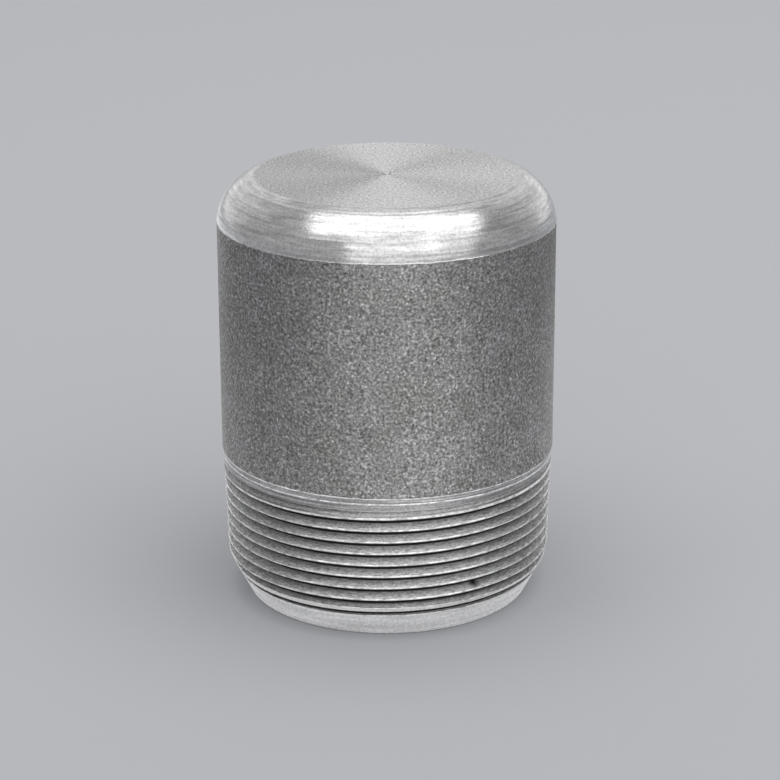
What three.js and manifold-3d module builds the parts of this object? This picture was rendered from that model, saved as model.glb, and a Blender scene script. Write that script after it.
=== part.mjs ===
// NPS 2 round head plug: a solid steel bar end with a turned crown, a plain
// cylindrical head and a male taper pipe thread behind a chamfered nose.
// Millimetres, +Z up. The origin is the centre of the nose face, and the plug's
// axis is Z, so the crown is on top and the thread points down.

import * as THREE from "three";
import { mergeVertices } from "three/addons/utils/BufferGeometryUtils.js";
import Module from "manifold-3d";

// ---------------------------------------------------------------- driving dimensions

const INCH = 25.4;

// Head
const HEAD_DIAMETER = 61.0; // 2 3/8 in bar with its rolling allowance
const OVERALL_HEIGHT = 78.2;
const CROWN_HEIGHT = 8.0;
const CROWN_FLAT_DIAMETER = 47.2;
const CROWN_CORNER_RADIUS = 9.0;
const CENTRE_MARK_DIAMETER = 1.6; // left where the facing cut meets the axis
const CENTRE_MARK_DEPTH = 0.25;

// Threaded end, 2 - 11 1/2 NPT
const NOMINAL_PIPE_DIAMETER = 2.375 * INCH;
const THREADS_PER_INCH = 11.5;
const TAPER_PER_SIDE = 1 / 32; // 1 in 16 on the diameter
const FLANK_ANGLE = THREE.MathUtils.degToRad(30); // half of the 60 degree form
const HEIGHT_IN_PITCHES = 0.8; // root to crest
const ROOT_FLAT_IN_PITCHES = 0.038;
const CREST_TRUNCATION = 0.13; // crests turned down from the basic sharpness
const GAUGE_ALLOWANCE = 0.07; // one turn of taper, on the radius
const THREADED_LENGTH = 27.6; // nose face to shoulder
const SHOULDER_BREAK = 0.14; // rise of the small cone between thread and head
const NOSE_DIAMETER = 51.2; // of its flat face
const NOSE_EDGE_WIDTH = 0.35; // the broken edge between the face and the chamfer
const NOSE_EDGE_HEIGHT = 0.3;
const NOSE_CHAMFER_LENGTH = 7.45;

// Thread groove and the tool that cuts it
const GROOVE_DATUM_HEIGHT = 22.62; // groove centre on the -Y side, topmost full turn
const CUT_START_HEIGHT = 3.2; // inside the chamfer's outline, so the cut begins in air
const TURNS_ABOVE_DATUM = 1.7;
const RUNOUT_TURNS = 1.2; // the tool backs out over the last turns, below the shoulder
const TOOL_CLEARANCE = 0.06; // how far the vee reaches past the crests
const TOOL_REACH = 1.0; // further height of the tool, outside the metal

// Smoothness
const HEAD_FACETS = 60; // around the axis
const THREAD_FACETS = 48; // around the axis, for the threaded end and its groove
const CROWN_ARC_STEPS = 8;

// Corners closer than these are one corner
const SEAM_WELD = 1e-4; // before a cut, where a shape closes on itself
const CUT_WELD = 0.01; // after the cuts

// ---------------------------------------------------------------- thread geometry

const PITCH = INCH / THREADS_PER_INCH;
const HEAD_RADIUS = HEAD_DIAMETER / 2;

// Taper pipe thread rule: the pitch diameter at the small end is
// D - (0.05 D + 1.1) p in inches, and the thread stands half its height each way.
const PITCH_DIAMETER_AT_NOSE =
  NOMINAL_PIPE_DIAMETER - (0.05 * NOMINAL_PIPE_DIAMETER + 1.1 * INCH) * (PITCH / INCH);
const THREAD_HEIGHT = HEIGHT_IN_PITCHES * PITCH;
const NOSE_PITCH_RADIUS = PITCH_DIAMETER_AT_NOSE / 2 - GAUGE_ALLOWANCE;
const NOSE_ROOT_RADIUS = NOSE_PITCH_RADIUS - THREAD_HEIGHT / 2;
const NOSE_CREST_RADIUS = NOSE_PITCH_RADIUS + THREAD_HEIGHT / 2 - CREST_TRUNCATION;
const ROOT_FLAT = ROOT_FLAT_IN_PITCHES * PITCH;

const rootRadius = (z) => NOSE_ROOT_RADIUS + TAPER_PER_SIDE * z;
const crestRadius = (z) => NOSE_CREST_RADIUS + TAPER_PER_SIDE * z;

// ---------------------------------------------------------------- solids

const wasm = await Module();
wasm.setup();

/** The geometry with near corners joined, and without the triangles that leaves empty. */
function welded(geometry, tolerance) {
  geometry.deleteAttribute("normal");
  geometry.deleteAttribute("uv");
  const merged = mergeVertices(geometry, tolerance);
  const corners = merged.index.array;
  const kept = [];
  for (let i = 0; i < corners.length; i += 3) {
    const [a, b, c] = corners.slice(i, i + 3);
    if (a !== b && b !== c && c !== a) kept.push(a, b, c);
  }
  return merged.setIndex(kept);
}

/** A closed geometry as a solid that can be joined and cut. */
function solidOf(geometry) {
  const closed = welded(geometry, SEAM_WELD);
  return new wasm.Manifold(
    new wasm.Mesh({
      numProp: 3,
      vertProperties: closed.attributes.position.array,
      triVerts: new Uint32Array(closed.index.array),
    }),
  );
}

/** A finished solid back as a geometry. */
function geometryOf(solid) {
  const { vertProperties, triVerts } = solid.getMesh();
  const geometry = new THREE.BufferGeometry();
  geometry.setAttribute("position", new THREE.BufferAttribute(vertProperties, 3));
  geometry.setIndex(new THREE.BufferAttribute(triVerts, 1));
  return welded(geometry, CUT_WELD);
}

// ---------------------------------------------------------------- turned blank

/** A profile of [radius, height] points turned about the plug's axis. */
function turned(points, facets) {
  const profile = points.map(([radius, height]) => new THREE.Vector2(radius, height));
  const lathe = new THREE.LatheGeometry(profile, facets);
  lathe.rotateX(Math.PI / 2); // the lathe turns about Y, the plug's axis is Z
  return solidOf(lathe);
}

/** The crown's corner: an arc from the head's side up to the rim of the flat top. */
function crownCorner() {
  const low = new THREE.Vector2(HEAD_RADIUS, OVERALL_HEIGHT - CROWN_HEIGHT);
  const high = new THREE.Vector2(CROWN_FLAT_DIAMETER / 2, OVERALL_HEIGHT);
  const chord = high.clone().sub(low);
  const inward = new THREE.Vector2(-chord.y, chord.x).normalize();
  const reach = Math.sqrt(CROWN_CORNER_RADIUS ** 2 - chord.lengthSq() / 4);
  const centre = low.clone().add(high).multiplyScalar(0.5).addScaledVector(inward, reach);
  const angleOf = (point) => Math.atan2(point.y - centre.y, point.x - centre.x);
  const arc = new THREE.Path();
  arc.absarc(centre.x, centre.y, CROWN_CORNER_RADIUS, angleOf(low), angleOf(high), false);
  return arc.getPoints(CROWN_ARC_STEPS).map((point) => [point.x, point.y]);
}

/** The head, from the shoulder to the crown. Both ends of its corner are slight edges. */
function head() {
  const profile = [
    [0, THREADED_LENGTH],
    [crestRadius(THREADED_LENGTH), THREADED_LENGTH],
    [HEAD_RADIUS, THREADED_LENGTH + SHOULDER_BREAK],
    ...crownCorner(),
    [CENTRE_MARK_DIAMETER / 2, OVERALL_HEIGHT],
    [0, OVERALL_HEIGHT - CENTRE_MARK_DEPTH],
  ];
  return turned(profile, HEAD_FACETS);
}

/** The end that takes the thread, turned to the taper of the crests. It runs on
 * into the head, so that the two join as one piece of steel. */
function threadBlank() {
  const top = THREADED_LENGTH + PITCH;
  const profile = [
    [0, 0],
    [NOSE_DIAMETER / 2, 0],
    [NOSE_DIAMETER / 2 + NOSE_EDGE_WIDTH, NOSE_EDGE_HEIGHT],
    [crestRadius(NOSE_CHAMFER_LENGTH), NOSE_CHAMFER_LENGTH],
    [crestRadius(THREADED_LENGTH), THREADED_LENGTH],
    [HEAD_RADIUS - PITCH, top],
    [0, top],
  ];
  return turned(profile, THREAD_FACETS);
}

// ---------------------------------------------------------------- thread groove

/** Right-hand taper helix through the groove's root. */
class GrooveRoot extends THREE.Curve {
  constructor() {
    super();
    const turnsBelow = (GROOVE_DATUM_HEIGHT - CUT_START_HEIGHT) / PITCH;
    this.firstStep = -Math.round(turnsBelow * THREAD_FACETS);
    this.steps = Math.round(TURNS_ABOVE_DATUM * THREAD_FACETS) - this.firstStep;
  }

  /** Turns past the datum, which lies on the -Y side. */
  turnsAt(t) {
    return (this.firstStep + t * this.steps) / THREAD_FACETS;
  }

  frameAt(t) {
    const angle = this.turnsAt(t) * 2 * Math.PI - Math.PI / 2;
    return {
      tangent: new THREE.Vector3(-Math.sin(angle), Math.cos(angle), 0),
      outward: new THREE.Vector3(Math.cos(angle), Math.sin(angle), 0),
    };
  }

  getPoint(t, target = new THREE.Vector3()) {
    const turns = this.turnsAt(t);
    const height = GROOVE_DATUM_HEIGHT + turns * PITCH;
    const backedOut = THREE.MathUtils.clamp(
      (turns - TURNS_ABOVE_DATUM + RUNOUT_TURNS) / RUNOUT_TURNS,
      0,
      1,
    );
    const depth = crestRadius(height) - rootRadius(height);
    const radius = rootRadius(height) + backedOut * (depth + TOOL_CLEARANCE);
    return target.copy(this.frameAt(t).outward).multiplyScalar(radius).setZ(height);
  }

  // Equal steps turn through equal angles.
  getPointAt(t, target) {
    return this.getPoint(t, target);
  }

  // The tool stays square to the axis, so the section is the thread's axial form.
  computeFrenetFrames(segments) {
    const frames = { tangents: [], normals: [], binormals: [] };
    for (let i = 0; i <= segments; i++) {
      const { tangent, outward } = this.frameAt(i / segments);
      frames.tangents.push(tangent);
      frames.normals.push(outward);
      frames.binormals.push(tangent.clone().cross(outward));
    }
    return frames;
  }
}

/** The tool that cuts the thread: a 60 degree vee, straight-sided outside the metal. */
function grooveCutter() {
  const reach = NOSE_CREST_RADIUS - NOSE_ROOT_RADIUS + TOOL_CLEARANCE;
  const halfRoot = ROOT_FLAT / 2;
  const halfMouth = halfRoot + reach * Math.tan(FLANK_ANGLE);
  const vee = new THREE.Shape();
  vee.moveTo(0, -halfRoot);
  vee.lineTo(reach, -halfMouth);
  vee.lineTo(reach + TOOL_REACH, -halfMouth);
  vee.lineTo(reach + TOOL_REACH, halfMouth);
  vee.lineTo(reach, halfMouth);
  vee.lineTo(0, halfRoot);
  vee.closePath();
  const path = new GrooveRoot();
  const sweep = new THREE.ExtrudeGeometry(vee, {
    steps: path.steps,
    extrudePath: path,
    bevelEnabled: false,
  });
  return solidOf(sweep);
}

// ---------------------------------------------------------------- the plug

const steel = new THREE.MeshStandardMaterial({
  color: 0x7d7f80,
  roughness: 0.5,
  metalness: 1,
});

const body = threadBlank().add(head()).subtract(grooveCutter());
const plug = new THREE.Mesh(geometryOf(body), steel);
plug.name = "round_head_plug";

const part = new THREE.Group();
part.add(plug);

export default part;
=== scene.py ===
import math

import bpy
import numpy as np
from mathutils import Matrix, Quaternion, Vector


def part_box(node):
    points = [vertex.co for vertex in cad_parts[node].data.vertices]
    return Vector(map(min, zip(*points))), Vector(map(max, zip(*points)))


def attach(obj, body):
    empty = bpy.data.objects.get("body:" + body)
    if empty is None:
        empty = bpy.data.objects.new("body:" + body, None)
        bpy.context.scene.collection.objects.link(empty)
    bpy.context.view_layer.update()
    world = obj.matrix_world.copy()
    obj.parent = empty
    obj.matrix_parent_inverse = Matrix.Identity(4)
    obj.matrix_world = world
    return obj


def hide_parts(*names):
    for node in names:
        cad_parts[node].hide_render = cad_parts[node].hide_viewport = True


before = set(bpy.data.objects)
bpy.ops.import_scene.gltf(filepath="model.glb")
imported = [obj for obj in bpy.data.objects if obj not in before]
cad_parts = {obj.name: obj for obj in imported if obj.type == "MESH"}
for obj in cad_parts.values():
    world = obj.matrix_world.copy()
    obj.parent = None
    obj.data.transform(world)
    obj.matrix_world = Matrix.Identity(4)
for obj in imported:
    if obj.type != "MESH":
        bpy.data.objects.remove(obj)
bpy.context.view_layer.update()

# Round head pipe plug, NPS 2, one piece of carbon steel: a rolled and blasted side between a
# turned crown and a turned shoulder band, and a taper thread cut behind a chamfered nose.
# Lengths are in millimetres up to the mesh, which is in metres.

MM = 0.001
NODE = "round_head_plug"
LOW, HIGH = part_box(NODE)

# ---------------------------------------------------------------- dimensions

# the whole plug and its crown
HEIGHT = (HIGH.z - LOW.z) / MM
HEAD_RADIUS = (HIGH.x - LOW.x) / 2 / MM
CROWN_HEIGHT = 8.0
CROWN_BASE = HEIGHT - CROWN_HEIGHT
CROWN_FLAT_RADIUS = 23.6
CROWN_CORNER_RADIUS = 9.0
CENTRE_MARK_RADIUS, CENTRE_MARK_DEPTH = 1.0, 0.35

# the threaded end: nose, chamfer, band and shoulder
NOSE_RADIUS = 25.6
NOSE_EDGE_WIDTH, NOSE_EDGE_HEIGHT = 0.35, 0.3
THREAD_START = 3.4  # where the chamfer's plain stretch ends
CHAMFER_TOP = 7.45
BAND_FOOT = 26.45
SHOULDER = 27.6
SHOULDER_BREAK = 0.14

# the thread, 2 - 11 1/2 NPT
PITCH = 25.4 / 11.5
TAPER = 1 / 32  # on the radius
FLANK_SLOPE = 1 / math.tan(math.radians(30))
NOSE_ROOT_RADIUS, NOSE_CREST_RADIUS = 27.863, 29.50
ROOT_FLAT = 0.038 * PITCH
GROOVE_DATUM = 22.62  # the groove's height at -Y, where its turns are counted from
TURNS_ABOVE_DATUM = 1.7
RUNOUT_TURNS = 1.2  # the tool backs out of the metal over the last turns
TOOL_CLEARANCE = 0.06

COLUMNS = 288  # points round the axis
rng = np.random.default_rng(7)


def crest_radius(height):
    return NOSE_CREST_RADIUS + TAPER * height


def blank_radius(height):
    """The threaded end before the thread is cut: the crests' taper above the chamfer."""
    low = NOSE_RADIUS + NOSE_EDGE_WIDTH
    rise = (crest_radius(CHAMFER_TOP) - low) / (CHAMFER_TOP - NOSE_EDGE_HEIGHT)
    return np.minimum(crest_radius(height), low + rise * (height - NOSE_EDGE_HEIGHT))


def step_up(value, low, high):
    """0 below low, 1 above high, and smooth between them."""
    share = np.clip((value - low) / (high - low), 0, 1)
    return share * share * (3 - 2 * share)


def wander(where, waves, size):
    """Smooth irregular waviness, of about this size and this many waves to each unit."""
    total = np.zeros_like(where)
    for share in (0.55, 1.0, 1.7):  # unequal lengths of wave, which don't repeat together
        total = total + np.sin(2 * math.pi * (where * waves * share + rng.random()))
    return size * total / 3


# ---------------------------------------------------------------- surface


class Skin:
    """The plug's one closed surface, sewn from rows of points round the axis."""

    def __init__(self):
        self.points, self.shade_and_dulling, self.faces, self.finishes = [], [], [], []
        self.angle = 2 * math.pi * np.arange(COLUMNS) / COLUMNS

    def spots(self, radius, height, shade_and_dulling=0.0):
        """Adds one point in each column and returns their numbers."""
        radius, height, shade_and_dulling = np.broadcast_arrays(radius, height, shade_and_dulling, self.angle)[:3]
        first = sum(len(p) for p in self.points)
        place = (radius * np.cos(self.angle), radius * np.sin(self.angle), height)
        self.points.append(np.stack(place, axis=1))
        self.shade_and_dulling.append(shade_and_dulling)
        return first + np.arange(COLUMNS)

    def ring(self, radius, height):
        """A closed ring: its last point is its first again."""
        numbers = self.spots(radius, height)
        return np.append(numbers, numbers[0])

    def tip(self, height):
        """A ring of no size, as one point many times."""
        self.points.append(np.array([[0.0, 0.0, height]]))
        self.shade_and_dulling.append(np.zeros(1))
        return np.full(COLUMNS + 1, sum(len(p) for p in self.points) - 1)

    def sew(self, lower, upper, finish):
        """Faces between two rows. Corners that are the same point close up."""
        corners = np.stack([lower[:-1], lower[1:], upper[1:], upper[:-1]], axis=1)
        finish = np.broadcast_to(finish, COLUMNS).tolist()
        for quad, own_finish in zip(corners.tolist(), finish):
            kept = [a for a, b in zip(quad, quad[1:] + quad[:1]) if a != b]
            if len(set(kept)) > 2:
                self.faces.append(kept)
                self.finishes.append(own_finish)

    def sew_rings(self, row, profile, finish):
        """Faces from a row up through these rings, and returns the last of them."""
        for radius, height in profile:
            following = self.ring(radius, height)
            self.sew(row, following, finish)
            row = following
        return row


# ---------------------------------------------------------------- thread

# rows of points, from below the groove up to the land above it
CREST_ROUND = 0.115  # how far a crest's rounding reaches to each side of its corner
CREST_SPREAD = (-1.0, -0.4, 0.4, 1.0)  # shares of that reach
LOWER_FLANK, UPPER_FLANK = (0.3, 0.6, 0.86), (0.5,)  # shares of the way in and out again
LAND_ROWS = 2  # the last rows of a turn, with the land's own faces above them
HALVINGS = 24  # of the guess, to find a groove's mouth
MOUTH_MARGIN, LEAST_FLANK = 0.01, 0.02
SPARE_TURNS = (2, 1)  # below and above, where the rows close up on the ends' rings

# what the lands are, in turns past the datum
FIRST_CREST = -6.8  # from here the chamfer has left a crest
LAST_CREST = 0.66  # up to here a crest stands between two grooves
DULL_FROM, DULL_SHARE = 0.15, 0.42  # where that crest starts to lose its shine, and how much

# painted shade in the grooves, by how deep a point lies under the blank and how clear it is of
# the root
GROOVE_SHADE_DEPTH = (0.03, 0.10)
ROOT_LINE = (0.05, 0.28)
ROOT_SHADE, SHADE_SHARE = (0.2, 1.2), 0.30
# the painted groove shade fades out as the tool backs out
GROOVE_SHADE_FADE = 1.7  # how fast it goes as the tool backs out
RAGGED_WAVES = ((23.0, 0.012), (61.0, 0.010))  # waves in a turn, and their size

# wear and damage
LEAD_TURNS, LEAD_EXTRA = -7.0, 0.3  # the first turn is torn a little deeper
NICK_TURNS = -5.91  # where the dent lies along the groove
NICK_OFFSET, NICK_WIDTH, NICK_HEIGHT, NICK_DEPTH = -0.25, 0.70, 0.48, 0.45
# painted shade in the dent
NICK_SHADE = 1.5


def lift(turns):
    """How far the tool has backed out of the groove, from 0 to 1."""
    return np.clip((turns - TURNS_ABOVE_DATUM + RUNOUT_TURNS) / RUNOUT_TURNS, 0, 1)


def groove_height(turns):
    return GROOVE_DATUM + turns * PITCH


def groove_radius(turns, offset):
    """The groove's surface at this height above its own root."""
    height = groove_height(turns)
    root = NOSE_ROOT_RADIUS + TAPER * height
    out = lift(turns) * (NOSE_CREST_RADIUS - NOSE_ROOT_RADIUS + TOOL_CLEARANCE)
    out = out - LEAD_EXTRA * np.clip(LEAD_TURNS - turns, 0, 1)
    return root + out + np.maximum(np.abs(offset) - ROOT_FLAT / 2, 0) * FLANK_SLOPE


def mouth(turns, side):
    """How far from its root the groove meets the blank, above (1) or below (-1)."""
    near = np.full_like(turns, ROOT_FLAT / 2)
    far = np.full_like(turns, PITCH / 2)
    for _ in range(HALVINGS):
        middle = (near + far) / 2
        blank = blank_radius(groove_height(turns) + side * middle)
        inside = groove_radius(turns, middle) < blank
        near, far = np.where(inside, middle, near), np.where(inside, far, middle)
    return near + MOUTH_MARGIN


def thread_rows(turns):
    """One turn's rows, as heights above the groove's root, and which have land above them."""
    half = ROOT_FLAT / 2
    least = half + CREST_ROUND + LEAST_FLANK
    below = np.maximum(mouth(turns, -1), least)
    above = np.maximum(mouth(turns, 1), least)
    following = PITCH - np.maximum(mouth(turns + 1, -1), least) - CREST_ROUND
    low, high = -below + CREST_ROUND, above - CREST_ROUND
    offsets = [-below + spread * CREST_ROUND for spread in CREST_SPREAD]
    offsets += [low + (-half - low) * share for share in LOWER_FLANK]
    offsets += [np.full_like(turns, -half), np.full_like(turns, half)]
    offsets += [half + (high - half) * share for share in UPPER_FLANK]
    offsets += [above + spread * CREST_ROUND for spread in CREST_SPREAD]
    offsets += [(above + CREST_ROUND + following) / 2]
    edge = len(CREST_SPREAD) - 1
    upper_edge = len(offsets) - len(CREST_SPREAD)
    lands = [number < edge or number >= upper_edge for number in range(len(offsets))]
    return offsets, lands


def nick(turns, offset):
    """The dent in one groove, from 0 to 1."""
    around = (turns - NICK_TURNS) * 2 * math.pi * NOSE_ROOT_RADIUS / NICK_WIDTH
    along = (offset - NICK_OFFSET) / NICK_HEIGHT
    return np.exp(-around * around - along * along)


def thread_point(turns, offset):
    """Radius, and painted shade and dulling, of the threaded end, with its crests' corners
    rounded.
    """
    blank = blank_radius(groove_height(turns) + offset)
    groove = groove_radius(turns, offset)
    reach = CREST_ROUND * FLANK_SLOPE
    near = np.maximum(reach - np.abs(blank - groove), 0)
    radius = np.minimum(blank, groove) - near * near / (4 * reach)
    ragged = sum(wander(turns, *waves) for waves in RAGGED_WAVES)
    dent = nick(turns, offset)

    # painted shade: the flank that faces down is dark all over, the one that faces up is dark
    # at the root
    in_groove = step_up(blank - radius, *GROOVE_SHADE_DEPTH)
    clear = groove - groove_radius(turns, 0)
    shade = SHADE_SHARE * (1 - step_up(clear, *ROOT_SHADE))
    at_the_root = np.maximum(1 - step_up(clear, *ROOT_LINE), shade)
    cut = 1 - np.minimum(GROOVE_SHADE_FADE * lift(turns), 1)
    shade_and_dulling = in_groove * np.where(offset < 0, at_the_root, 1.0) * cut
    dulled = DULL_SHARE * step_up(turns, DULL_FROM, LAST_CREST) * (1 - in_groove)
    # painted shade in the dent, over the groove shade and the dulling
    shade_and_dulling = np.maximum(np.maximum(shade_and_dulling, dulled), np.minimum(NICK_SHADE * dent, 1))
    return radius + ragged * (near > 0) - NICK_DEPTH * dent, shade_and_dulling


def sew_thread(skin, lower, finish):
    """The threaded stretch from this ring to the band's foot, on rows that follow the helix."""
    turn_of_column = skin.angle / (2 * math.pi) + 0.25  # the datum is on the -Y side
    first = math.floor((THREAD_START - GROOVE_DATUM) / PITCH) - SPARE_TURNS[0]
    last = math.ceil((BAND_FOOT - GROOVE_DATUM) / PITCH) + SPARE_TURNS[1]
    ceiling = skin.ring(crest_radius(BAND_FOOT), BAND_FOOT)
    numbers, finishes = [], []
    for turn in range(first, last + 1):
        turns = turn + turn_of_column
        offsets, lands = thread_rows(turns)
        for number, (offset, is_land) in enumerate(zip(offsets, lands)):
            height = groove_height(turns) + offset
            radius, shade_and_dulling = thread_point(turns, offset)
            spots = skin.spots(radius, height, shade_and_dulling)
            spots = np.where(height <= THREAD_START, lower[:-1], spots)
            numbers.append(np.where(height >= BAND_FOOT, ceiling[:-1], spots))
            land = np.where(turns < LAST_CREST, finish["crest"], finish["band"])
            if number >= len(offsets) - LAND_ROWS:
                land = np.where(turns + 1 < FIRST_CREST, finish["nose"], land)
            finishes.append(land if is_land else finish["flank"])
    # after a full turn each row runs into the same row one turn higher
    per_turn = len(offsets)
    for i, row in enumerate(numbers):
        following = numbers[i + per_turn][0] if i + per_turn < len(numbers) else ceiling[0]
        numbers[i] = np.append(row, following)
    for row, following, own_finish in zip(numbers, numbers[1:], finishes):
        skin.sew(row, following, own_finish)
    return ceiling


# ---------------------------------------------------------------- head

NOSE_RINGS, CHAMFER_RINGS, SIDE_RINGS, CORNER_RINGS = 16, 7, 28, 60
FIRST_NOSE_RING, LAST_NOSE_RING = 1.5, NOSE_RADIUS - 0.2
NOSE_EDGE = ((-0.4, 0.0), (0.1, 0.12), (0.6, 0.5), (1.0, 1.0))  # shares of its width and height
SIDE_MARGIN = 0.6  # plain steel between the side's first and last rings and its uneven ends
SHARP = math.radians(25)

# small shapes, as how far out and up each point is from where they start
LIP = ((0.045, 0.09), (0.05, 0.16), (0.035, 0.28))
BAND = ((0.06, 0.70), (0.08, 1.05))
SHOULDER_CORNER = ((-0.05, -0.2), (0.0, 0.0))
BURR = ((0.05, 0.02), (-0.01, 0.11))

# uneven edges round the head, as waves in a turn and their size
SHOULDER_WAVES = ((40.0, 0.05), (97.0, 0.04))
CROWN_WAVES = ((45.0, 0.05), (103.0, 0.05))

# feed marks, as the step between two of them and their depth
CORNER_FEED = (1.05, 0.034)
RIM_FEED = (1.0, 0.008)
LEAST_MARK = 0.3  # the shallowest mark's share of that depth
RIM_START, RIM_WIDTH, RIM_RINGS = 0.15, 3.0, 16  # the flat's outer ring, which has marks
FLAT_START, FLAT_RINGS = 4.0, 16  # how far in the smooth part starts


def crown_corner():
    """The corner's centre and its first and last angles, from side to flat top."""
    low = Vector((HEAD_RADIUS, CROWN_BASE))
    high = Vector((CROWN_FLAT_RADIUS, HEIGHT))
    chord = high - low
    inward = Vector((-chord.y, chord.x)).normalized()
    reach = math.sqrt(CROWN_CORNER_RADIUS**2 - chord.length_squared / 4)
    centre = (low + high) / 2 + inward * reach
    angles = [math.atan2(p.y - centre.y, p.x - centre.x) for p in (low, high)]
    return centre, angles


def feed_marks(along, spacing, depth):
    """Small steps left by a turning tool, each of a depth of its own."""
    count = int(along[-1] / spacing) + 2
    depths = depth * (LEAST_MARK + rng.random(count))
    turn = along / spacing
    mark = np.floor(turn).astype(int)
    return -depths[mark] * np.abs(2 * (turn - mark) - 1)


def uneven(angle, waves):
    """How far an uneven edge strays up or down round the head."""
    return sum(wander(angle / (2 * math.pi), *wave) for wave in waves)


def outline(radius, height, offsets):
    """A small shape's points, from where it starts."""
    return [(radius + out, height + up) for out, up in offsets]


def sew_nose(skin, finish):
    """The nose's flat end, from its centre outwards, and its chamfer."""
    face = [(r, 0.0) for r in np.linspace(FIRST_NOSE_RING, LAST_NOSE_RING, NOSE_RINGS)]
    row = skin.sew_rings(skin.tip(0.0), face, finish["nose"])
    edge = [(NOSE_RADIUS + w * NOSE_EDGE_WIDTH, h * NOSE_EDGE_HEIGHT) for w, h in NOSE_EDGE]
    row = skin.sew_rings(row, edge, finish["nose"])
    heights = np.linspace(NOSE_EDGE_HEIGHT, THREAD_START, CHAMFER_RINGS + 1)[1:]
    return skin.sew_rings(row, [(blank_radius(h), h) for h in heights], finish["nose"])


def sew_head(skin, row, finish):
    """The shoulder band, the shoulder and the side, up to the burr under the crown."""
    foot = crest_radius(BAND_FOOT)
    row = skin.sew_rings(row, outline(foot, BAND_FOOT, LIP), finish["crest"])
    row = skin.sew_rings(row, outline(foot, BAND_FOOT, BAND), finish["band"])
    edge = SHOULDER + SHOULDER_BREAK + uneven(skin.angle, SHOULDER_WAVES)
    row = skin.sew_rings(row, outline(HEAD_RADIUS, edge, SHOULDER_CORNER), finish["crest"])
    heights = np.linspace(SHOULDER + SIDE_MARGIN, CROWN_BASE - SIDE_MARGIN, SIDE_RINGS)
    row = skin.sew_rings(row, [(HEAD_RADIUS, h) for h in heights], finish["side"])
    edge = CROWN_BASE + uneven(skin.angle, CROWN_WAVES)
    row = skin.sew_rings(row, [(HEAD_RADIUS, edge)], finish["side"])
    return skin.sew_rings(row, outline(HEAD_RADIUS, edge, BURR), finish["crown"])


def sew_crown(skin, row, finish):
    """The crown's corner, its flat top and the centre mark."""
    centre, (start, end) = crown_corner()
    angles = np.linspace(start, end, CORNER_RINGS + 2)[2:]  # above the burr
    along = (angles - start) * CROWN_CORNER_RADIUS
    reach = CROWN_CORNER_RADIUS + feed_marks(along, *CORNER_FEED)
    corner = zip(centre.x + reach * np.cos(angles), centre.y + reach * np.sin(angles))
    row = skin.sew_rings(row, corner, finish["crown"])

    rim = np.linspace(RIM_START, RIM_WIDTH, RIM_RINGS)
    flat = np.linspace(FLAT_START, CROWN_FLAT_RADIUS - CENTRE_MARK_RADIUS, FLAT_RINGS)
    inwards = np.append(rim, flat)
    marks = feed_marks(inwards, *RIM_FEED)
    marks[RIM_RINGS:] = 0.0
    row = skin.sew_rings(row, zip(CROWN_FLAT_RADIUS - inwards, HEIGHT + marks), finish["top"])
    skin.sew(row, skin.tip(HEIGHT - CENTRE_MARK_DEPTH), finish["top"])


def skin_mesh(skin, materials):
    """The surface as a mesh, with its finishes and its painted shade and dulling."""
    # the rows of the thread that lie beyond its ends have points that no face uses
    used, corners = np.unique(np.concatenate(skin.faces), return_inverse=True)
    faces = np.split(corners, np.cumsum([len(face) for face in skin.faces])[:-1])
    points = np.concatenate(skin.points)[used] * MM
    shade_and_dulling = np.concatenate(skin.shade_and_dulling)[used]

    mesh = bpy.data.meshes.new("plug_surface")
    mesh.from_pydata(points.tolist(), [], [face.tolist() for face in faces])
    for material in materials:
        mesh.materials.append(material)
    mesh.polygons.foreach_set("material_index", skin.finishes)
    mesh.polygons.foreach_set("use_smooth", [True] * len(mesh.polygons))
    # painted shade in the grooves and the dent, and the crests' dulling, kept on the points
    shade_and_dulling_layer = mesh.attributes.new("shade_and_dulling", "FLOAT", "POINT")
    shade_and_dulling_layer.data.foreach_set("value", shade_and_dulling.astype(np.float32))
    mesh.set_sharp_from_angle(angle=SHARP)
    return mesh


def build_plug(looks):
    """The plug from its nose to its crown, where looks has each zone's finish."""
    finish = {zone: number for number, zone in enumerate(looks)}
    skin = Skin()
    row = sew_nose(skin, finish)
    row = sew_thread(skin, row, finish)
    row = sew_head(skin, row, finish)
    sew_crown(skin, row, finish)
    mesh = skin_mesh(skin, [look() for look in looks.values()])
    plug = bpy.data.objects.new("plug_steel_body", mesh)
    bpy.context.scene.collection.objects.link(plug)
    return plug


# ---------------------------------------------------------------- finishes

NEAR_AXIS = 1e-5  # metres, to keep clear of a division by nothing
PIT, FLECK = (0.06, 0.058, 0.056, 1.0), (0.55, 0.55, 0.55, 1.0)
# near black colours for painted shade in the grooves and the dent, and for the crests' dulling
CREST_SHADE_AND_DULL, FLANK_SHADE = (0.018, 0.018, 0.017, 1.0), (0.014, 0.014, 0.013, 1.0)


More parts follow.
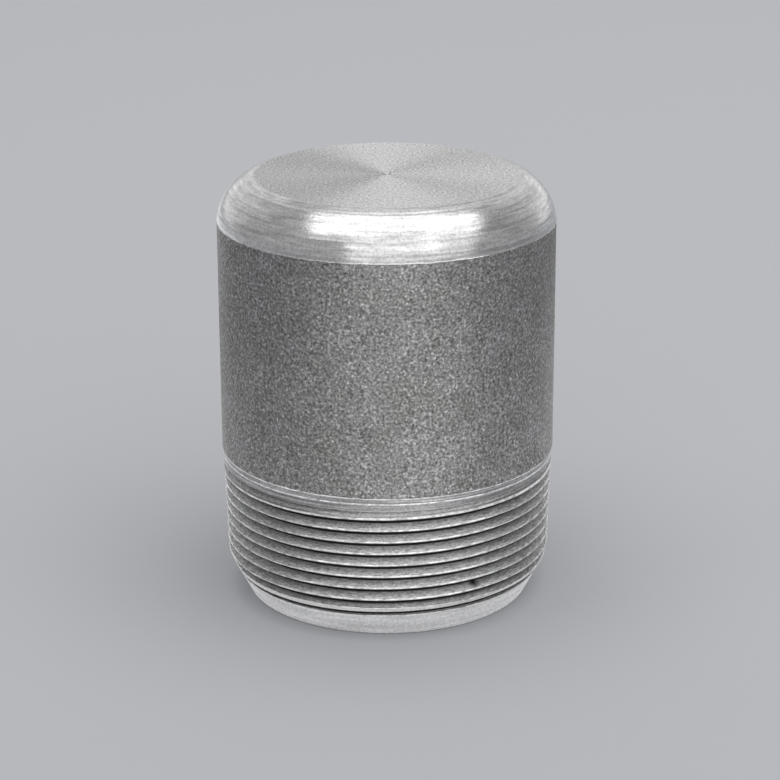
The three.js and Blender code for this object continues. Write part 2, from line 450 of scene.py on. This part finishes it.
class Finish:
    """A procedural metal: a Principled shader with the nodes that drive it.

    Sizes in a finish are in metres, so a noise of scale 2000 has features of about 0.5 mm.
    """

    def __init__(self, name, anisotropy=0.0):
        self.material = bpy.data.materials.new(name)
        self.material.use_nodes = True
        self.tree = self.material.node_tree
        self.shader = self.tree.nodes["Principled BSDF"]
        self.shader.inputs["Metallic"].default_value = 1.0
        if anisotropy:
            self.shader.inputs["Anisotropic"].default_value = anisotropy
            self.shader.inputs["Anisotropic Rotation"].default_value = 0.25  # across the cut
            tangent = self.node("ShaderNodeTangent", direction_type="RADIAL", axis="Z")
            self.join(tangent.outputs[0], self.shader.inputs["Tangent"])

    def node(self, kind, **settings):
        made = self.tree.nodes.new(kind)
        for name, value in settings.items():
            setattr(made, name, value)
        return made

    def join(self, value, socket):
        if isinstance(value, bpy.types.NodeSocket):
            self.tree.links.new(value, socket)
        else:
            socket.default_value = value

    def calculate(self, operation, *values):
        made = self.node("ShaderNodeMath", operation=operation)
        for value, socket in zip(values, made.inputs):
            self.join(value, socket)
        return made.outputs[0]

    def place(self):
        return self.node("ShaderNodeTexCoord").outputs["Object"]

    def unrolled(self, around, across):
        """A point's direction from the axis and its way along the profile, each scaled."""
        split = self.node("ShaderNodeSeparateXYZ")
        self.join(self.place(), split.inputs[0])
        x, y, z = split.outputs
        squares = [self.calculate("MULTIPLY", side, side) for side in (x, y)]
        radius = self.calculate("SQRT", self.calculate("ADD", *squares))
        radius = self.calculate("MAXIMUM", radius, NEAR_AXIS)
        made = self.node("ShaderNodeCombineXYZ")
        for side, socket in zip((x, y), made.inputs):
            share = self.calculate("DIVIDE", side, radius)
            self.join(self.calculate("MULTIPLY", share, around), socket)
        along = self.calculate("SUBTRACT", radius, z)
        self.join(self.calculate("MULTIPLY", along, across), made.inputs[2])
        return made.outputs[0]

    def noise(self, vector, scale=1.0, detail=2.0, roughness=0.5):
        made = self.node("ShaderNodeTexNoise")
        self.join(vector, made.inputs["Vector"])
        made.inputs["Scale"].default_value = scale
        made.inputs["Detail"].default_value = detail
        made.inputs["Roughness"].default_value = roughness
        return made.outputs["Fac"]

    def spread(self, value, low, high, to_low, to_high):
        made = self.node("ShaderNodeMapRange")
        for number, socket in zip((value, low, high, to_low, to_high), made.inputs):
            self.join(number, socket)
        return made.outputs[0]

    def ramp(self, value, stops):
        made = self.node("ShaderNodeValToRGB")
        band = made.color_ramp
        while len(band.elements) < len(stops):
            band.elements.new(0.5)
        for element, (position, tone) in zip(band.elements, stops):
            element.position = position
            element.color = (*tone, 1.0) if isinstance(tone, tuple) else (tone,) * 3 + (1.0,)
        self.join(value, made.inputs[0])
        return made.outputs[0]

    def mix(self, share, first, second, blend="MIX"):
        made = self.node("ShaderNodeMix", data_type="RGBA", blend_type=blend)
        self.join(share, made.inputs[0])
        self.join(first, made.inputs[6])
        self.join(second, made.inputs[7])
        return made.outputs[2]

    def times(self, first, second):
        return self.mix(1.0, first, second, "MULTIPLY")

    # painted shade in the grooves and the dent, with the crests' dulling
    def shade_and_dulling(self):
        return self.node("ShaderNodeAttribute", attribute_name="shade_and_dulling").outputs["Fac"]

    def bump(self, height, distance, strength=1.0, under=None):
        made = self.node("ShaderNodeBump")
        made.inputs["Strength"].default_value = strength
        made.inputs["Distance"].default_value = distance
        self.join(height, made.inputs["Height"])
        if under is not None:
            self.join(under, made.inputs["Normal"])
        return made.outputs[0]

    def finish(self, colour, roughness, normal):
        self.join(colour, self.shader.inputs["Base Color"])
        self.join(roughness, self.shader.inputs["Roughness"])
        self.join(normal, self.shader.inputs["Normal"])
        return self.material


def rolled_steel():
    """As rolled and blasted: a fine salt and pepper grain under broad soft patches."""
    f = Finish("rolled_side")
    grain = f.noise(f.place(), 2100.0, 2.0, 0.6)
    specks = f.noise(f.place(), 2300.0, 0.0)
    patches = f.noise(f.place(), 160.0, 2.0)
    tone = f.ramp(grain, [(0.30, 0.10), (0.46, 0.19), (0.58, 0.26), (0.72, 0.45)])
    patch = f.ramp(patches, [(0.35, (0.86, 0.85, 0.82)), (0.65, 1.0)])
    pitted = f.mix(f.ramp(specks, [(0.20, 0.8), (0.34, 0.0)]), f.times(tone, patch), PIT)
    colour = f.mix(f.ramp(specks, [(0.70, 0.0), (0.84, 0.8)]), pitted, FLECK)
    roughness = f.spread(grain, 0.3, 0.7, 0.58, 0.44)
    normal = f.bump(f.noise(f.place(), 1900.0, 2.0), 0.00009, 0.6)
    return f.finish(colour, roughness, normal)


def turned_crown():
    """Turned bright: broken streaks and longer rings over a faint grain."""
    f = Finish("turned_crown", anisotropy=0.72)
    streaks = f.noise(f.unrolled(7.0, 1300.0), 1.0, 3.0, 0.7)
    rings = f.noise(f.unrolled(1.2, 850.0), 1.0, 1.0)
    grain = f.noise(f.place(), 2200.0, 2.0)
    tone = f.ramp(streaks, [(0.30, 0.51), (0.5, 0.65), (0.70, 0.80)])
    shade = f.ramp(rings, [(0.40, 0.80), (0.54, 1.0)])
    speckle = f.ramp(grain, [(0.30, 0.76), (0.55, 1.0)])
    colour = f.times(f.times(tone, shade), speckle)
    roughness = f.spread(streaks, 0.3, 0.7, 0.29, 0.20)
    low = f.bump(streaks, 0.00004, 0.7)
    return f.finish(colour, roughness, f.bump(grain, 0.00003, 0.35, low))


def faced_top():
    """The crown's flat: a granular faced surface, with shade painted darker towards its -X
    side.
    """
    f = Finish("faced_top", anisotropy=0.82)
    grain = f.noise(f.place(), 2200.0, 2.0, 0.6)
    rings = f.noise(f.unrolled(3.0, 1400.0), 1.0, 2.0)
    outward = f.node("ShaderNodeSeparateXYZ")
    f.join(f.unrolled(1.0, 1.0), outward.inputs[0])
    tone = f.ramp(grain, [(0.30, 0.32), (0.5, 0.58), (0.68, 0.88)])
    soft_rings = f.ramp(rings, [(0.35, 0.93), (0.65, 1.0)])
    # painted shade: the flat's colour darker towards -X
    painted_side_shade = f.spread(outward.outputs[0], -0.95, -0.3, 0.74, 1.0)
    colour = f.times(f.times(tone, soft_rings), painted_side_shade)
    roughness = f.spread(grain, 0.3, 0.7, 0.40, 0.30)
    return f.finish(colour, roughness, f.bump(grain, 0.00008, 0.7))


def turned_band():
    """The shoulder band below the side: dull turned steel with rings."""
    f = Finish("turned_band", anisotropy=1.0)
    rings = f.noise(f.unrolled(2.0, 3000.0), 1.0, 3.0, 0.7)
    grain = f.noise(f.place(), 2600.0, 2.0)
    tone = f.ramp(rings, [(0.30, 0.18), (0.5, 0.32), (0.70, 0.54)])
    speckle = f.ramp(grain, [(0.35, 0.75), (0.6, 1.0)])
    colour = f.times(tone, speckle)
    roughness = f.spread(grain, 0.3, 0.7, 0.44, 0.32)
    return f.finish(colour, roughness, f.bump(rings, 0.00003, 0.6))


def bright_crest():
    """The thread's crests, burnished by the cut, broken here and there."""
    f = Finish("bright_crest", anisotropy=0.4)
    breaks = f.noise(f.unrolled(22.0, 1500.0), 1.0, 3.0, 0.65)
    bare = f.ramp(breaks, [(0.36, 0.34), (0.5, 0.60), (0.68, 0.82)])
    # the crests' dulling, with painted shade at their rounded edges
    colour = f.mix(f.shade_and_dulling(), bare, CREST_SHADE_AND_DULL)
    roughness = f.spread(breaks, 0.3, 0.7, 0.50, 0.32)
    return f.finish(colour, roughness, f.bump(breaks, 0.00004, 0.6))


def cut_flank():
    """The thread's flanks: torn streaks along the cut, with painted shade darkest at the root.
    """
    f = Finish("cut_flank", anisotropy=1.0)
    streaks = f.noise(f.unrolled(24.0, 3800.0), 1.0, 3.0, 0.6)
    grain = f.noise(f.place(), 2200.0, 2.0)
    tone = f.ramp(streaks, [(0.32, 0.42), (0.5, 0.79), (0.66, 1.0)])
    speckle = f.ramp(grain, [(0.35, 0.76), (0.6, 1.0)])
    bare = f.times(tone, speckle)
    # painted shade towards the root of the groove
    colour = f.mix(f.shade_and_dulling(), bare, FLANK_SHADE)
    roughness = f.spread(streaks, 0.3, 0.7, 0.78, 0.64)
    return f.finish(colour, roughness, f.bump(streaks, 0.00026, 1.0))


def faced_nose():
    """The nose's end and chamfer: light turned steel with soft rings."""
    f = Finish("faced_nose", anisotropy=0.4)
    rings = f.noise(f.unrolled(1.5, 1800.0), 1.0, 3.0, 0.6)
    grain = f.noise(f.place(), 2000.0, 2.0, 0.6)
    tone = f.ramp(rings, [(0.30, 0.48), (0.5, 0.60), (0.70, 0.72)])
    speckle = f.ramp(grain, [(0.35, 0.78), (0.6, 1.0)])
    colour = f.times(tone, speckle)
    roughness = f.spread(grain, 0.3, 0.7, 0.50, 0.38)
    return f.finish(colour, roughness, f.bump(rings, 0.00002, 0.5))


plug = build_plug(
    {
        "side": rolled_steel,
        "crown": turned_crown,
        "top": faced_top,
        "band": turned_band,
        "crest": bright_crest,
        "flank": cut_flank,
        "nose": faced_nose,
    }
)
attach(plug, "root")
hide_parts(NODE)

# ---------------------------------------------------------------- studio

# Distances and sizes are in metres here.
MIDDLE = Vector((0, 0, HEIGHT * MM / 2))
GLOW_GAP = 0.0001  # between the floor and the glows
FLOOR_REACH = 6.0
FLOOR_COLOUR = (0.405, 0.41, 0.43, 1.0)
ROOM_TINT = (1.0, 1.0, 1.01, 1.0)
WALL_EDGE = (0.22, 0.88)  # how far towards +Y the wall starts, and where it is full
SHADE_EDGE = (0.1, 0.9)  # the same towards +X for the room's darker side


def direction(azimuth, elevation):
    """Azimuth 0 is towards the camera and 90 to its right."""
    a, e = math.radians(azimuth), math.radians(elevation)
    return Vector((math.sin(a) * math.cos(e), -math.cos(a) * math.cos(e), math.sin(e)))


def panel(name, place, facing, size, radiance):
    """An evenly lit rectangle."""
    light = bpy.data.lights.new(name, "AREA")
    light.shape = "RECTANGLE"
    light.size, light.size_y = size
    light.energy = radiance * size[0] * size[1] * math.pi
    lamp = bpy.data.objects.new(name, light)
    lamp.location = place
    lamp.rotation_mode = "QUATERNION"
    lamp.rotation_quaternion = (-facing).to_track_quat("Z", "Y")
    bpy.context.scene.collection.objects.link(lamp)
    return lamp


def softbox(name, azimuth, elevation, distance, size, radiance):
    """A panel that faces the middle of the plug."""
    out = direction(azimuth, elevation)
    return panel(name, MIDDLE + out * distance, -out, size, radiance)


def floor_glow(name, azimuth, distance, size, radiance):
    """Light off a stretch of the floor, which only the plug sees."""
    up = Vector((0, 0, 1))
    place = direction(azimuth, 0) * distance + (LOW.z + GLOW_GAP) * up
    lamp = panel(name, place, up, size, radiance)
    lamp.rotation_quaternion = Quaternion(up, math.radians(azimuth)) @ lamp.rotation_quaternion
    lamp.visible_camera = False
    return lamp


def surroundings(sides, back, right_shade):
    """An even pale room with a lighter wall behind the plug, slightly darker to its right."""
    world = bpy.data.worlds.new("studio")
    world.use_nodes = True
    nodes, links = world.node_tree.nodes, world.node_tree.links
    split = nodes.new("ShaderNodeSeparateXYZ")
    links.new(nodes.new("ShaderNodeTexCoord").outputs["Generated"], split.inputs[0])
    strength = nodes.new("ShaderNodeMath")
    changes = (("Y", WALL_EDGE, (sides, back)), ("X", SHADE_EDGE, (0.0, -right_shade)))
    for (axis, edge, levels), total in zip(changes, strength.inputs):
        change = nodes.new("ShaderNodeMapRange")
        change.interpolation_type = "SMOOTHSTEP"
        for name, value in zip(("From Min", "From Max", "To Min", "To Max"), edge + levels):
            change.inputs[name].default_value = value
        links.new(split.outputs[axis], change.inputs["Value"])
        links.new(change.outputs["Result"], total)
    links.new(strength.outputs[0], nodes["Background"].inputs["Strength"])
    nodes["Background"].inputs["Color"].default_value = ROOM_TINT
    return world


def pale_floor():
    """A wide matt sheet under the plug."""
    mesh = bpy.data.meshes.new("floor")
    signs = ((-1, -1), (1, -1), (1, 1), (-1, 1))
    corners = [(x * FLOOR_REACH, y * FLOOR_REACH, LOW.z) for x, y in signs]
    mesh.from_pydata(corners, [], [(0, 1, 2, 3)])
    paper = bpy.data.materials.new("floor_paper")
    paper.use_nodes = True
    shader = paper.node_tree.nodes["Principled BSDF"]
    shader.inputs["Base Color"].default_value = FLOOR_COLOUR
    shader.inputs["Roughness"].default_value = 1.0
    shader.inputs["Specular IOR Level"].default_value = 0.0
    mesh.materials.append(paper)
    floor = bpy.data.objects.new("floor", mesh)
    bpy.context.scene.collection.objects.link(floor)
    return floor


panel(
    "overhead",
    place=Vector((0.28, 0.31, 2.11)),
    facing=Vector((0, 0.686, -0.727)),
    size=(2.84, 2.71),
    radiance=1.7,
)
softbox("front", azimuth=4.5, elevation=26, distance=3.2, size=(3.55, 3.1), radiance=1.0)
softbox("front_right", azimuth=46, elevation=26, distance=3.4, size=(1.7, 3.1), radiance=0.70)
softbox("back_left", azimuth=-146, elevation=2, distance=3.0, size=(2.0, 1.0), radiance=0.16)
softbox("back_right", azimuth=146, elevation=2, distance=3.0, size=(2.0, 1.0), radiance=0.24)
bpy.context.scene.world = surroundings(sides=0.47, back=0.83, right_shade=0.06)

under = floor_glow("glow_under", azimuth=90, distance=0.02, size=(0.32, 0.30), radiance=0.45)
under.data.shape = "ELLIPSE"
floor_glow("glow_front", azimuth=1, distance=0.19, size=(0.25, 0.22), radiance=1.45)
floor_glow("glow_back_left", azimuth=-145, distance=0.36, size=(0.40, 0.34), radiance=0.45)

pale_floor()

bpy.context.scene.view_settings.view_transform = "Standard"

# ---------------------------------------------------------------- camera

CAMERA_BACK = 0.45117
CAMERA_HEIGHT = 0.19358
CAMERA_ASIDE = 0.00051
CAMERA_DOWN = math.radians(19.106)
CAMERA_ROLL = math.radians(-0.228)
FOCAL_LENGTH = 119.86  # millimetres

camera = bpy.data.cameras.new("camera")
camera.lens = FOCAL_LENGTH
eye = bpy.data.objects.new("camera", camera)
eye.location = (CAMERA_ASIDE, -CAMERA_BACK, LOW.z + CAMERA_HEIGHT)
eye.rotation_mode = "QUATERNION"
ahead = Vector((0, math.cos(CAMERA_DOWN), -math.sin(CAMERA_DOWN)))
eye.rotation_quaternion = ahead.to_track_quat("-Z", "Y") @ Quaternion((0, 0, 1), CAMERA_ROLL)
bpy.context.scene.collection.objects.link(eye)
bpy.context.scene.camera = eye

bpy.context.view_layer.update()
